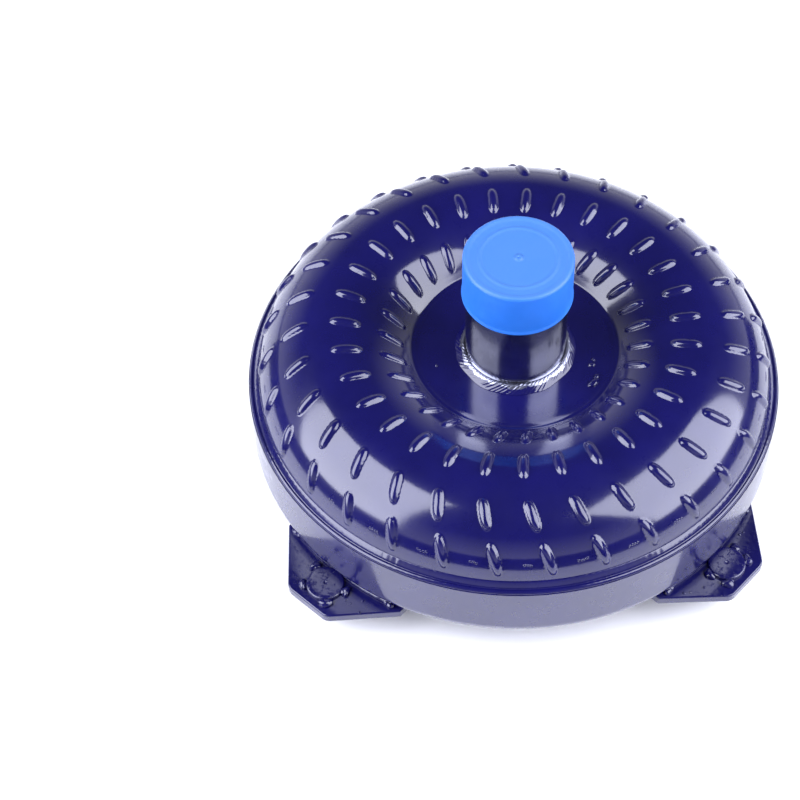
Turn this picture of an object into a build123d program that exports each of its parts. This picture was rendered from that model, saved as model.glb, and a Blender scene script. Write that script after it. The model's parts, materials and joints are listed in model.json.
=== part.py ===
from build123d import *
import os
from math import acos, asin, cos, degrees, pi, radians, sin

os.makedirs("parts", exist_ok=True)

# A 10 inch torque converter with a four-stud front cover, standing on its studs with its pump hub up.
#
# Frame: millimetres, +Z along the converter's axis towards the pump hub. The origin is on the axis, in the
# plane of the lugs' undersides, which is the plane that the flexplate is bolted against. The studs are at
# 45, 135, 225 and 315 degrees.

# ---------------------------------------------------------------- driving dimensions
# Housing
BAND_R = 127.5            # outside of the front cover's cylindrical band
COVER_T = 4.0             # front cover sheet
SHELL_T = 3.0             # impeller shell sheet
LUG_T = 5.0               # mounting lug plate, standing on the plane z = 0
COVER_Z = LUG_T           # outer face of the front cover
SKIRT_TOP = 40.0          # free edge of the band
BAND_FILLET = 8.5         # outer corner between the band and the cover's face
SKIRT_ROUND = 1.2

# Impeller torus, as one arc outside and a flatter one on the side of the hub
TORUS_R = 86.8            # crest radius
TORUS_Z = 37.5            # level at which the shell's wall is vertical
TORUS_ARC = 36.5          # outer arc
FLANK_ARC = 51.5          # inner arc
RECESS_Z = 57.5           # flat ring round the hub
RECESS_ROUND = 2.5
CREST_Z = TORUS_Z + TORUS_ARC
FLANK_Z = CREST_Z - FLANK_ARC
RIM_R = TORUS_R + TORUS_ARC
RIM_LOW = 36.0            # lower edge of the impeller shell, inside the band
BUMP_ROWS = (             # radius of a row, with the arc that it stands on and that arc's centre height
    (58.8, FLANK_ARC, FLANK_Z),
    (80.2, FLANK_ARC, FLANK_Z),
    (104.0, TORUS_ARC, TORUS_Z),
    (118.6, TORUS_ARC, TORUS_Z),
)
BUMP_LENGTH = 16.0        # spindle, of which the upper part stands out of the sheet
BUMP_R = 2.6
BUMP_PROUD = 1.6
CLOSURE_WELD = 3.2        # leg of the weld between the band's edge and the shell

# Fins: one curved fin under each line of four bumps
FIN_COUNT = 31
FIN_PHASE = -92.0         # azimuth of one fin where its curve turns
FIN_TURN_R = 84.0
FIN_CURVE = 0.00415       # degrees of azimuth per mm squared away from the turning radius
FIN_T = 1.0
FIN_SEAT = 0.75           # below the sheet, clear of the backs of the bumps
FIN_INNER_R, FIN_OUTER_R = 52.0, 121.0
FIN_TOE = 1.0             # degrees of the outer arc, from its vertical end, that the fins leave free
INLET_R = 54.0            # where the impeller fins' inlet edge meets the shell
IMPELLER_CORE = ((74.0, 46.5), (88.0, 51.5), (103.5, 38.0))   # arc of the core ring's inner face
CORE_T = 1.0

# Pump hub and its cap
HUB_R = 23.81             # 1.875 inch journal
HUB_BORE_R = 20.3
HUB_TIP_R = 23.4          # drive end, a little under the journal
HUB_TOP = 120.8
JOURNAL_TOP = 98.0
HUB_FLANGE_R = 36.0
HUB_SEAT_R, HUB_SEAT_TOP = 24.2, 61.0   # shoulder under the journal, where the hub is welded in
HUB_WELD_R, HUB_WELD_Z = 28.7, 60.5
SLOT_WIDTH, SLOT_DEPTH = 9.5, 10.0
CAP_R, CAP_WALL, CAP_LOW, CAP_TOP = 25.5, 2.0, 98.3, 123.0
CAP_ROUND = 1.6

# Front mounting
STUD_CIRCLE_R = 133.35    # 10.5 inch bolt circle
STUD_R = 4.7625           # 3/8 inch
STUD_SHOULDER_R = 5.3     # plain shoulder, pressed into the lug
STUD_LOW = -16.5
STUD_HEAD_R, STUD_HEAD_T = 9.0, 1.8
TACK_R = 2.6              # weld tacks round a stud's head, at these angles from the outward direction
TACK_ANGLES = (50, 110, -110, -50)
PILOT_R, PILOT_LOW, PILOT_TOP = 17.46, -12.0, 1.0
PILOT_FLANGE_R, PILOT_SPIGOT_R, PILOT_WELD = 22.0, 12.0, 3.0
CHAMFER = 1.0
LUG_COUNT, LUG_FIRST = 4, 45.0
LUG_TIP_R, LUG_TIP_HALF = 146.0, 12.0
LUG_WING_R, LUG_WING_HALF = 121.0, 36.0
LUG_INNER_R = 108.0
LUG_CORNER, LUG_EDGE = 6.0, 0.8
LUG_WELD_SPAN = 28.0      # degrees round the band
LUG_BEAD_LOW, LUG_BEAD_HIGH = -80.0, -52.0   # part of the band's rounded corner that the weld lies on

# Turbine
TURBINE_FINS = 29
TURBINE_T = 1.5
TURBINE_R, TURBINE_RIM_Z, TURBINE_LOW = 121.8, 34.5, 11.5
TURBINE_ARC = TURBINE_RIM_Z - TURBINE_LOW
TURBINE_FLAT_R = 84.0
TURBINE_DISC_R, TURBINE_DISC_Z = 50.0, 19.5
TURBINE_CORE = ((74.0, 27.5), (88.0, 25.0), (103.5, 34.0))
TURBINE_HUB_R, TURBINE_FLANGE_R, TURBINE_FLANGE_Z = 30.0, 45.0, 15.5
TURBINE_OUTLET_GAP = 1.0  # between the turbine fins and the stator
TURBINE_FIN_BOW = 7.0     # degrees by which a fin's ends lead its middle
TURBINE_SPLINE_R, TURBINE_TEETH = 9.9, 26
SPLINE_DEPTH = 0.8
RIVET_R, RIVET_CIRCLE_R, RIVET_COUNT = 2.4, 39.0, 10
RIVET_HEAD_R, RIVET_HEAD_T = 4.0, 1.4
WASHER_R_IN, WASHER_R_OUT, WASHER_T = 14.0, 27.0, 2.0

# Thrust bearings: a race, a caged ring of needles and a second race
RACE_T, NEEDLE_SPACE, NEEDLE_R, CAGE_T = 0.8, 2.0, 0.9, 1.1
NEEDLE_COUNT, NEEDLE_LENGTH, NEEDLE_MID_R = 24, 5.8, 24.85
BEARING_R_IN, BEARING_R_OUT = 20.9, 28.8
BEARING_T = 2 * RACE_T + NEEDLE_SPACE

# Stator and its one-way clutch
STATOR_BLADES = 19
STATOR_LOW, STATOR_HIGH = 25.5, 46.5
STATOR_BORE_R, STATOR_HUB_R = 46.05, 50.5
STATOR_RING_R, STATOR_RING_T = 70.0, 2.5
STATOR_LIP_R, STATOR_LIP_T = 43.5, 1.0
BLADE_HALF_WIDTH, BLADE_HALF_HEIGHT = 5.5, 9.5
BLADE_BOW, BLADE_HOLLOW = 3.2, 0.8   # how far the two faces bow to the blade's convex side
BLADE_SINK = 1.5          # depth that a blade's ends reach into the hub and the ring
PLATE_T, PLATE_R_IN = 1.0, 29.4
SNAP_R_IN, SNAP_GROOVE, SNAP_GAP = 44.5, 1.0, 4.0
CLUTCH_RACE_R, CLUTCH_RACE_LOW, CLUTCH_RACE_HIGH = 29.0, 25.0, 47.0
STATOR_SPLINE_R, STATOR_TEETH = 14.6, 24
RACE_BLANK_R = 7.3        # bore of the inner race before it is broached
CAM_R, CAM_LAND_R = 46.0, 31.2
ROLLER_COUNT, ROLLER_R = 8, 3.4
RUNNING = 0.1             # clearance between parts that turn against each other
ROLLER_MID_R = CLUTCH_RACE_R + ROLLER_R + RUNNING
SPRING_T, SPRING_FOLDS, SPRING_HEIGHT, SPRING_CLEAR = 0.35, 6, 3.2, 0.3
SPRING_POCKET_R, SPRING_POCKET_LENGTH = 35.6, 10.5

# Levels that follow from the stack along the axis
HUB_FLANGE_Z = CLUTCH_RACE_HIGH + BEARING_T
TURBINE_HUB_TOP = CLUTCH_RACE_LOW - BEARING_T
CAM_LOW = STATOR_LOW + STATOR_LIP_T + PLATE_T
CAM_HIGH = STATOR_HIGH - SNAP_GROOVE - PLATE_T

GAP = 0.05                # between pieces that are brazed or pressed together
PLANE_RZ = Plane.XZ       # sketches of a meridian: x is the radius and y is the height


def save(piece, label):
    """Labels a finished part and writes it as one STEP file."""
    piece.label = label
    export_step(piece, f"parts/{label}.step")


def ring(r_in, r_out, z_low, z_high):
    """A plain flat ring round the axis."""
    with BuildPart() as plain:
        with BuildSketch(Plane.XY.offset(z_low)):
            Circle(r_out)
            Circle(r_in, mode=Mode.SUBTRACT)
        extrude(amount=z_high - z_low)
    return plain.part


def turned(*outline):
    """A solid of revolution from a closed outline of (radius, height) corners."""
    with BuildPart() as lathe:
        with BuildSketch(PLANE_RZ):
            with BuildLine():
                Polyline(*outline, close=True)
            make_face()
        revolve(axis=Axis.Z)
    return lathe.part


def polar(radius, azimuth, z=0.0):
    """A point at a radius and an azimuth in degrees."""
    return (radius * cos(radians(azimuth)), radius * sin(radians(azimuth)), z)


def flank_angle(arc, level):
    """How far the flank arc runs from the crest to a level, in degrees."""
    return degrees(acos((level - FLANK_Z) / arc))


def fin_azimuth(radius):
    """Azimuth of the impeller's fin curve at a radius, from its turning point."""
    return FIN_CURVE * (radius - FIN_TURN_R) ** 2


# ---------------------------------------------------------------- impeller shell
flank_out = flank_angle(FLANK_ARC, RECESS_Z)
flank_in = flank_angle(FLANK_ARC - SHELL_T, RECESS_Z - SHELL_T)

with BuildPart() as shell_body:
    with BuildSketch(PLANE_RZ):
        with BuildLine():
            rim = Line((RIM_R, RIM_LOW), (RIM_R, TORUS_Z))
            outer = CenterArc((TORUS_R, TORUS_Z), TORUS_ARC, 0, 90)
            flank = CenterArc((TORUS_R, FLANK_Z), FLANK_ARC, 90, flank_out)
            floor_top = Line(flank @ 1, (HUB_SEAT_R + GAP, RECESS_Z))
            eye = Line(floor_top @ 1, (HUB_SEAT_R + GAP, RECESS_Z - SHELL_T))
            flank_under = CenterArc((TORUS_R, FLANK_Z), FLANK_ARC - SHELL_T, 90, flank_in)
            Line(eye @ 1, flank_under @ 1)
            under = CenterArc((TORUS_R, TORUS_Z), TORUS_ARC - SHELL_T, 0, 90)
            inside = Line(under @ 0, (RIM_R - SHELL_T, RIM_LOW))
            Line(inside @ 1, rim @ 0)
        profile = make_face()
        corner = profile.vertices().sort_by_distance(flank @ 1)[0]
        fillet(corner, RECESS_ROUND)
    revolve(axis=Axis.Z)


with BuildPart() as bump:
    with BuildSketch(PLANE_RZ):
        with BuildLine():
            crown = ThreePointArc((-BUMP_LENGTH / 2, 0), (0, BUMP_R), (BUMP_LENGTH / 2, 0))
            Line(crown @ 1, crown @ 0)
        make_face()
    revolve(axis=Axis.X)


def bump_seat(radius, arc, centre_z):
    """Plane on the shell at azimuth 0, with x along the fin line, sunk so that the bump stands proud."""
    slope = asin((radius - TORUS_R) / arc)
    normal = Vector(sin(slope), 0, cos(slope))
    foot = Vector(radius, 0, centre_z + arc * cos(slope))
    sideways = radius * radians(2 * FIN_CURVE * (radius - FIN_TURN_R)) * cos(slope)
    along = Vector(cos(slope), sideways, -sin(slope))
    return Plane(origin=foot - normal * (BUMP_R - BUMP_PROUD), x_dir=along, z_dir=normal)


with BuildPart() as bumps:
    for bump_r, bump_arc, arc_z in BUMP_ROWS:
        with PolarLocations(0, FIN_COUNT, start_angle=FIN_PHASE + fin_azimuth(bump_r)):
            with Locations(bump_seat(bump_r, bump_arc, arc_z)):
                add(bump.part)

with BuildPart() as impeller_shell:
    add(shell_body.part)
    add(bumps.part)
save(impeller_shell.part, "impeller_shell")


# ---------------------------------------------------------------- front cover and the closure weld
band_in = RIM_R + GAP
with BuildPart() as front_cover:
    with BuildSketch(PLANE_RZ):
        with BuildLine():
            Polyline(
                (PILOT_SPIGOT_R + GAP, COVER_Z),
                (BAND_R, COVER_Z),
                (BAND_R, SKIRT_TOP),
                (band_in, SKIRT_TOP),
                (band_in, COVER_Z + COVER_T),
                (PILOT_SPIGOT_R + GAP, COVER_Z + COVER_T),
                close=True,
            )
        profile = make_face()
        outer_corner = profile.vertices().sort_by_distance((BAND_R, 0, COVER_Z))[0]
        fillet(outer_corner, BAND_FILLET)
        inner_corner = profile.vertices().sort_by_distance((band_in, 0, COVER_Z + COVER_T))[0]
        fillet(inner_corner, BAND_FILLET - COVER_T)
        skirt_corner = profile.vertices().sort_by_distance((BAND_R, 0, SKIRT_TOP))[0]
        fillet(skirt_corner, SKIRT_ROUND)
    revolve(axis=Axis.Z)
save(front_cover.part, "front_cover")

with BuildPart() as closure_weld:
    with BuildSketch(PLANE_RZ):
        with BuildLine():
            seat_arc = TORUS_ARC + GAP
            weld_low = degrees(asin((SKIRT_TOP - TORUS_Z) / seat_arc))
            weld_high = degrees(asin((SKIRT_TOP + CLOSURE_WELD - TORUS_Z) / seat_arc))
            root = CenterArc((TORUS_R, TORUS_Z), seat_arc, weld_low, weld_high - weld_low)
            toe = (RIM_R + CLOSURE_WELD - SKIRT_ROUND, SKIRT_TOP)
            Line(root @ 0, toe)
            Line(toe, root @ 1)
        make_face()
    revolve(axis=Axis.Z)
save(closure_weld.part, "closure_weld")


# ---------------------------------------------------------------- pump hub, its weld and its shipping cap
flange_top = RECESS_Z - SHELL_T
with BuildPart() as impeller_hub:
    add(turned(
        (HUB_BORE_R, HUB_FLANGE_Z),
        (HUB_FLANGE_R, HUB_FLANGE_Z),
        (HUB_FLANGE_R, flange_top),
        (HUB_SEAT_R, flange_top),
        (HUB_SEAT_R, HUB_SEAT_TOP),
        (HUB_R, HUB_SEAT_TOP),
        (HUB_R, JOURNAL_TOP),
        (HUB_TIP_R, JOURNAL_TOP),
        (HUB_TIP_R, HUB_TOP - CHAMFER),
        (HUB_TIP_R - CHAMFER, HUB_TOP),
        (HUB_BORE_R, HUB_TOP),
    ))
    with BuildSketch(Plane.XY.offset(HUB_TOP)):
        with PolarLocations(HUB_R, 2):
            Rectangle(HUB_R, SLOT_WIDTH)
    extrude(amount=-SLOT_DEPTH, mode=Mode.SUBTRACT)
save(impeller_hub.part, "impeller_hub")

with BuildPart() as hub_weld:
    with BuildSketch(PLANE_RZ):
        with BuildLine():
            weld_in = HUB_SEAT_R + GAP
            top, toe = (weld_in, HUB_WELD_Z), (HUB_WELD_R, RECESS_Z)
            Polyline(top, (weld_in, RECESS_Z), toe)
            ThreePointArc(toe, ((weld_in + HUB_WELD_R) / 2, (RECESS_Z + HUB_WELD_Z) / 2 - GAP), top)
        make_face()
    revolve(axis=Axis.Z)
save(hub_weld.part, "hub_weld")

with BuildPart() as hub_cap:
    with BuildSketch(Plane.XY.offset(CAP_LOW)):
        Circle(CAP_R)
    extrude(amount=CAP_TOP - CAP_LOW)
    fillet(hub_cap.faces().sort_by(Axis.Z)[-1].edges(), CAP_ROUND)
    with BuildSketch(Plane.XY.offset(CAP_LOW)):
        Circle(CAP_R - CAP_WALL)
    extrude(amount=CAP_TOP - CAP_LOW - CAP_WALL, mode=Mode.SUBTRACT)
save(hub_cap.part, "hub_cap")


# ---------------------------------------------------------------- crankshaft pilot
with BuildPart() as pilot_boss:
    add(turned(
        (0, PILOT_LOW),
        (PILOT_R - CHAMFER, PILOT_LOW),
        (PILOT_R, PILOT_LOW + CHAMFER),
        (PILOT_R, PILOT_TOP),
        (PILOT_FLANGE_R, PILOT_TOP),
        (PILOT_FLANGE_R, COVER_Z),
        (PILOT_SPIGOT_R, COVER_Z),
        (PILOT_SPIGOT_R, COVER_Z + COVER_T),
        (0, COVER_Z + COVER_T),
    ))
save(pilot_boss.part, "pilot_boss")

with BuildPart() as pilot_weld:
    weld_r = PILOT_FLANGE_R + GAP
    add(turned((weld_r, COVER_Z), (weld_r + PILOT_WELD, COVER_Z), (weld_r, COVER_Z - PILOT_WELD)))
save(pilot_weld.part, "pilot_weld")


# ---------------------------------------------------------------- mounting lugs and studs
with BuildPart() as lug:
    with BuildSketch():
        with BuildLine():
            Polyline(
                (LUG_INNER_R, -LUG_WING_HALF),
                (LUG_WING_R, -LUG_WING_HALF),
                (LUG_TIP_R, -LUG_TIP_HALF),
                (LUG_TIP_R, LUG_TIP_HALF),
                (LUG_WING_R, LUG_WING_HALF),
                (LUG_INNER_R, LUG_WING_HALF),
                close=True,
            )
        outline = make_face()
        fillet(outline.vertices().group_by(Axis.X)[-1], LUG_CORNER)
    extrude(amount=LUG_T)
    fillet(lug.edges().filter_by(Axis.Z, reverse=True), LUG_EDGE)
    with Locations((STUD_CIRCLE_R, 0, 0)):
        Hole(STUD_SHOULDER_R + GAP)

with BuildPart() as stud:
    with BuildSketch(PLANE_RZ):
        with BuildLine():
            Polyline(
                (0, STUD_LOW),
                (STUD_R - CHAMFER, STUD_LOW),
                (STUD_R, STUD_LOW + CHAMFER),
                (STUD_R, 0),
                (STUD_SHOULDER_R, 0),
                (STUD_SHOULDER_R, LUG_T),
                (STUD_HEAD_R, LUG_T),
                (STUD_HEAD_R, LUG_T + STUD_HEAD_T),
                (0, LUG_T + STUD_HEAD_T),
                close=True,
            )
        make_face()
    revolve(axis=Axis.Z)

for number in range(1, LUG_COUNT + 1):
    turn = Location((0, 0, 0), (0, 0, LUG_FIRST + (number - 1) * 360 / LUG_COUNT))
    with BuildPart() as mounting_lug:
        with Locations(turn):
            add(lug.part)
    save(mounting_lug.part, f"mounting_lug_{number}")
    with BuildPart() as mounting_stud:
        with Locations(turn):
            with Locations((STUD_CIRCLE_R, 0, 0)):
                add(stud.part)
    save(mounting_stud.part, f"mounting_stud_{number}")

with BuildPart() as tack:
    with BuildSketch(PLANE_RZ):
        with BuildLine():
            dome = CenterArc((0, 0), TACK_R, 0, 90)
            Polyline(dome @ 1, (0, 0), dome @ 0)
        make_face()
    revolve(axis=Axis.Z)
    with Locations((-STUD_HEAD_R, 0, 0)):
        Cylinder(STUD_HEAD_R + GAP, 2 * (TACK_R + GAP), mode=Mode.SUBTRACT)

with BuildPart() as stud_welds:
    with PolarLocations(STUD_CIRCLE_R, LUG_COUNT, start_angle=LUG_FIRST):
        for angle in TACK_ANGLES:
            with Locations(Location(polar(STUD_HEAD_R, angle, LUG_T), (0, 0, angle))):
                add(tack.part)
save(stud_welds.part, "stud_welds")

with BuildPart() as lug_bead:
    with BuildSketch(PLANE_RZ):
        with BuildLine():
            centre = (BAND_R - BAND_FILLET, COVER_Z + BAND_FILLET)
            crest = CenterArc(centre, BAND_FILLET + GAP, LUG_BEAD_LOW, LUG_BEAD_HIGH - LUG_BEAD_LOW)
            Polyline(crest @ 1, ((crest @ 1).X, LUG_T), ((crest @ 0).X, LUG_T), crest @ 0)
        make_face()
    revolve(axis=Axis.Z, revolution_arc=LUG_WELD_SPAN)

with BuildPart() as lug_welds:
    with PolarLocations(0, LUG_COUNT, start_angle=LUG_FIRST - LUG_WELD_SPAN / 2):
        add(lug_bead.part)
save(lug_welds.part, "lug_welds")


# ---------------------------------------------------------------- impeller core ring and fins
def core_ring(arc_points, rise):
    """A thin bowed ring that closes the flow channel on the inside."""
    inner_end, crown, outer_end = arc_points
    with BuildPart() as core:
        with BuildSketch(PLANE_RZ):
            with BuildLine():
                near = ThreePointArc(inner_end, crown, outer_end)
                far = ThreePointArc(*[(radius, level + rise) for radius, level in arc_points])
                Line(near @ 0, far @ 0)
                Line(near @ 1, far @ 1)
            make_face()
        revolve(axis=Axis.Z)
    return core.part


save(core_ring(IMPELLER_CORE, CORE_T), "impeller_core_ring")
save(core_ring(TURBINE_CORE, -CORE_T), "turbine_core_ring")

with BuildPart() as impeller_fin:
    with BuildSketch(PLANE_RZ):
        with BuildLine():
            seat = TORUS_ARC - SHELL_T - FIN_SEAT
            flank_seat = FLANK_ARC - SHELL_T - FIN_SEAT
            inlet_angle = degrees(asin((TORUS_R - INLET_R) / flank_seat))
            wall = CenterArc((TORUS_R, TORUS_Z), seat, FIN_TOE, 90 - FIN_TOE)
            crown = CenterArc((TORUS_R, FLANK_Z), flank_seat, 90, inlet_angle)
            core_arc = ThreePointArc(*[(r, z + CORE_T + GAP) for r, z in IMPELLER_CORE])
            Line(crown @ 1, core_arc @ 0)
            Line(core_arc @ 1, wall @ 0)
        make_face()
    revolve(axis=Axis.Z)
    with BuildSketch():
        curve_r = (FIN_INNER_R, FIN_TURN_R, FIN_OUTER_R)
        curve = ThreePointArc(*[polar(r, fin_azimuth(r))[:2] for r in curve_r], mode=Mode.PRIVATE)
        trace(curve, FIN_T)
    extrude(amount=CREST_Z, mode=Mode.INTERSECT)

with BuildPart() as impeller_fins:
    with PolarLocations(0, FIN_COUNT, start_angle=FIN_PHASE):
        add(impeller_fin.part)
save(impeller_fins.part, "impeller_fins")


# ---------------------------------------------------------------- turbine
turbine_rim_centre = (TURBINE_R - TURBINE_ARC, TURBINE_RIM_Z)
turbine_sway = ((TURBINE_FLAT_R + TURBINE_DISC_R) / 2, (TURBINE_LOW + TURBINE_DISC_Z) / 2)

with BuildPart() as turbine_shell:
    with BuildSketch(PLANE_RZ):
        with BuildLine():
            ends = []
            for lift in (0, TURBINE_T):
                rim_arc = CenterArc(turbine_rim_centre, TURBINE_ARC - lift, 0, -90)
                flat = Line(rim_arc @ 1, (TURBINE_FLAT_R, TURBINE_LOW + lift))
                rise = TangentArc(flat @ 1, (turbine_sway[0], turbine_sway[1] + lift), tangent=(-1, 0))
                level_off = TangentArc(rise @ 1, (TURBINE_DISC_R, TURBINE_DISC_Z + lift), tangent=rise % 1)
                middle = Line(level_off @ 1, (TURBINE_HUB_R + GAP, TURBINE_DISC_Z + lift))
                ends.append((rim_arc @ 0, middle @ 1))
            Line(ends[0][0], ends[1][0])
            Line(ends[0][1], ends[1][1])
        make_face()
    revolve(axis=Axis.Z)
    with PolarLocations(RIVET_CIRCLE_R, RIVET_COUNT):
        Hole(RIVET_R + GAP)
save(turbine_shell.part, "turbine_shell")

fin_lift = TURBINE_T + GAP
core_drop = CORE_T + GAP
with BuildPart() as turbine_fin:
    with BuildSketch(PLANE_RZ):
        with BuildLine():
            inner_end, crown, outer_end = [(r, z - core_drop) for r, z in TURBINE_CORE]
            rim_arc = CenterArc(turbine_rim_centre, TURBINE_ARC - fin_lift, 0, -90)
            flat = Line(rim_arc @ 1, (TURBINE_FLAT_R, TURBINE_LOW + fin_lift))
            sway = (turbine_sway[0], turbine_sway[1] + fin_lift)
            rise = TangentArc(flat @ 1, sway, tangent=(-1, 0))
            outlet_z = STATOR_LOW - TURBINE_OUTLET_GAP
            Polyline(rise @ 1, ((rise @ 1).X, outlet_z), (inner_end[0], outlet_z), inner_end)
            core_arc = ThreePointArc(inner_end, crown, outer_end)
            Line(core_arc @ 1, rim_arc @ 0)
        make_face()
    revolve(axis=Axis.Z)
    with BuildSketch():
        bow = ((FIN_INNER_R, TURBINE_FIN_BOW), (FIN_TURN_R, 0), (FIN_OUTER_R, TURBINE_FIN_BOW))
        curve = ThreePointArc(*[polar(r, azimuth)[:2] for r, azimuth in bow], mode=Mode.PRIVATE)
        trace(curve, FIN_T)
    extrude(amount=CREST_Z, mode=Mode.INTERSECT)

with BuildPart() as turbine_fins:
    with PolarLocations(0, TURBINE_FINS):
        add(turbine_fin.part)
save(turbine_fins.part, "turbine_fins")


def splined(bore_r, teeth, z_low, z_high):
    """The cutter for a splined bore: a round hole with square grooves."""
    pitch = 2 * pi * bore_r / teeth
    with BuildPart() as broach:
        with BuildSketch(Plane.XY.offset(z_low)):
            Circle(bore_r)
            with PolarLocations(bore_r, teeth):
                Rectangle(2 * SPLINE_DEPTH, pitch / 2)
        extrude(amount=z_high - z_low)
    return broach.part


turbine_low = COVER_Z + COVER_T + RUNNING + WASHER_T
with BuildPart() as turbine_hub:
    add(turned(
        (0, turbine_low),
        (TURBINE_HUB_R, turbine_low),
        (TURBINE_HUB_R, TURBINE_FLANGE_Z),
        (TURBINE_FLANGE_R, TURBINE_FLANGE_Z),
        (TURBINE_FLANGE_R, TURBINE_DISC_Z),
        (TURBINE_HUB_R, TURBINE_DISC_Z),
        (TURBINE_HUB_R, TURBINE_HUB_TOP),
        (0, TURBINE_HUB_TOP),
    ))
    add(splined(TURBINE_SPLINE_R, TURBINE_TEETH, turbine_low, TURBINE_HUB_TOP), mode=Mode.SUBTRACT)
    with PolarLocations(RIVET_CIRCLE_R, RIVET_COUNT):
        Hole(RIVET_R + GAP)
save(turbine_hub.part, "turbine_hub")

rivet_low, rivet_high = TURBINE_FLANGE_Z, TURBINE_DISC_Z + TURBINE_T
with BuildPart() as turbine_rivets:
    with PolarLocations(RIVET_CIRCLE_R, RIVET_COUNT):
        add(turned(
            (0, rivet_low - RIVET_HEAD_T),
            (RIVET_HEAD_R - RIVET_HEAD_T / 2, rivet_low - RIVET_HEAD_T),
            (RIVET_HEAD_R, rivet_low),
            (RIVET_R, rivet_low),
            (RIVET_R, rivet_high),
            (RIVET_HEAD_R, rivet_high),
            (RIVET_HEAD_R - RIVET_HEAD_T / 2, rivet_high + RIVET_HEAD_T),
            (0, rivet_high + RIVET_HEAD_T),
        ))
save(turbine_rivets.part, "turbine_rivets")

save(ring(WASHER_R_IN, WASHER_R_OUT, turbine_low - WASHER_T, turbine_low), "turbine_thrust_washer")


# ---------------------------------------------------------------- thrust bearings
def thrust_bearing(name, z_low):
    """Two races with a caged ring of needles between them, from z_low upwards."""
    save(ring(BEARING_R_IN, BEARING_R_OUT, z_low, z_low + RACE_T), f"{name}_lower_race")
    upper = z_low + RACE_T + NEEDLE_SPACE
    save(ring(BEARING_R_IN, BEARING_R_OUT, upper, upper + RACE_T), f"{name}_upper_race")
    middle = z_low + RACE_T + NEEDLE_SPACE / 2
    with BuildPart() as cage:
        with BuildSketch(Plane.XY.offset(middle - CAGE_T / 2)):
            Circle(BEARING_R_OUT - RUNNING)
            Circle(BEARING_R_IN + RUNNING, mode=Mode.SUBTRACT)
            with PolarLocations(NEEDLE_MID_R, NEEDLE_COUNT):
                Rectangle(NEEDLE_LENGTH + 2 * RUNNING, 2 * (NEEDLE_R + RUNNING), mode=Mode.SUBTRACT)
        extrude(amount=CAGE_T)
    save(cage.part, f"{name}_cage")
    with BuildPart() as needles:
        with Locations((0, 0, middle)):
            with PolarLocations(NEEDLE_MID_R, NEEDLE_COUNT):
                Cylinder(NEEDLE_R, NEEDLE_LENGTH, rotation=(0, 90, 0))
    save(needles.part, f"{name}_needles")


thrust_bearing("front_bearing", TURBINE_HUB_TOP)
thrust_bearing("rear_bearing", CLUTCH_RACE_HIGH)


# ---------------------------------------------------------------- stator wheel
stator_mid = (STATOR_HIGH + STATOR_LOW) / 2
blade_root = STATOR_HUB_R - BLADE_SINK
blade_tip = STATOR_RING_R + BLADE_SINK
with BuildPart() as stator_blade:
    with BuildSketch(Plane(origin=(blade_root, 0, stator_mid), x_dir=(0, 1, 0), z_dir=(1, 0, 0))):
        with BuildLine():
            nose = (-BLADE_HALF_WIDTH, -BLADE_HALF_HEIGHT)
            tail = (BLADE_HALF_WIDTH, BLADE_HALF_HEIGHT)
            back = ThreePointArc(nose, (-BLADE_BOW, BLADE_BOW), tail)
            ThreePointArc(back @ 0, (-BLADE_HOLLOW, BLADE_HOLLOW), back @ 1)
        make_face()
    extrude(amount=blade_tip - blade_root)

with BuildPart() as stator_wheel:
    add(turned(
        (STATOR_LIP_R, STATOR_LOW),
        (STATOR_HUB_R, STATOR_LOW),
        (STATOR_HUB_R, STATOR_HIGH),
        (STATOR_BORE_R + SNAP_GROOVE, STATOR_HIGH),
        (STATOR_BORE_R + SNAP_GROOVE, STATOR_HIGH - SNAP_GROOVE),
        (STATOR_BORE_R, STATOR_HIGH - SNAP_GROOVE),
        (STATOR_BORE_R, STATOR_LOW + STATOR_LIP_T),
        (STATOR_LIP_R, STATOR_LOW + STATOR_LIP_T),
    ))
    add(ring(STATOR_RING_R, STATOR_RING_R + STATOR_RING_T, STATOR_LOW, STATOR_HIGH))
    with PolarLocations(0, STATOR_BLADES):
        add(stator_blade.part)
save(stator_wheel.part, "stator_wheel")


# ---------------------------------------------------------------- one-way clutch
save(ring(PLATE_R_IN, CAM_R, CAM_LOW - PLATE_T, CAM_LOW), "stator_front_plate")
save(ring(PLATE_R_IN, CAM_R, CAM_HIGH, CAM_HIGH + PLATE_T), "stator_rear_plate")

with BuildPart() as stator_snap_ring:
    with BuildSketch(Plane.XY.offset(STATOR_HIGH - SNAP_GROOVE)):
        Circle(STATOR_BORE_R + SNAP_GROOVE - GAP)
        Circle(SNAP_R_IN, mode=Mode.SUBTRACT)
        with Locations((STATOR_BORE_R, 0)):
            Rectangle(2 * SNAP_GAP, SNAP_GAP, mode=Mode.SUBTRACT)
    extrude(amount=SNAP_GROOVE)
save(stator_snap_ring.part, "stator_snap_ring")

spring_mid = (CAM_LAND_R + SPRING_POCKET_R) / 2
spring_start = ROLLER_R + SPRING_CLEAR
with BuildPart() as clutch_cam:
    with BuildSketch(Plane.XY.offset(CAM_LOW)):
        Circle(CAM_R)
        Circle(CAM_LAND_R, mode=Mode.SUBTRACT)
        with PolarLocations(0, ROLLER_COUNT):
            with Locations((ROLLER_MID_R, 0)):
                Circle(ROLLER_R + RUNNING, mode=Mode.SUBTRACT)
            with Locations((CAM_LAND_R, SPRING_POCKET_LENGTH / 2)):
                Rectangle(2 * (SPRING_POCKET_R - CAM_LAND_R), SPRING_POCKET_LENGTH, mode=Mode.SUBTRACT)
    extrude(amount=CAM_HIGH - CAM_LOW)
save(clutch_cam.part, "clutch_cam")

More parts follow.
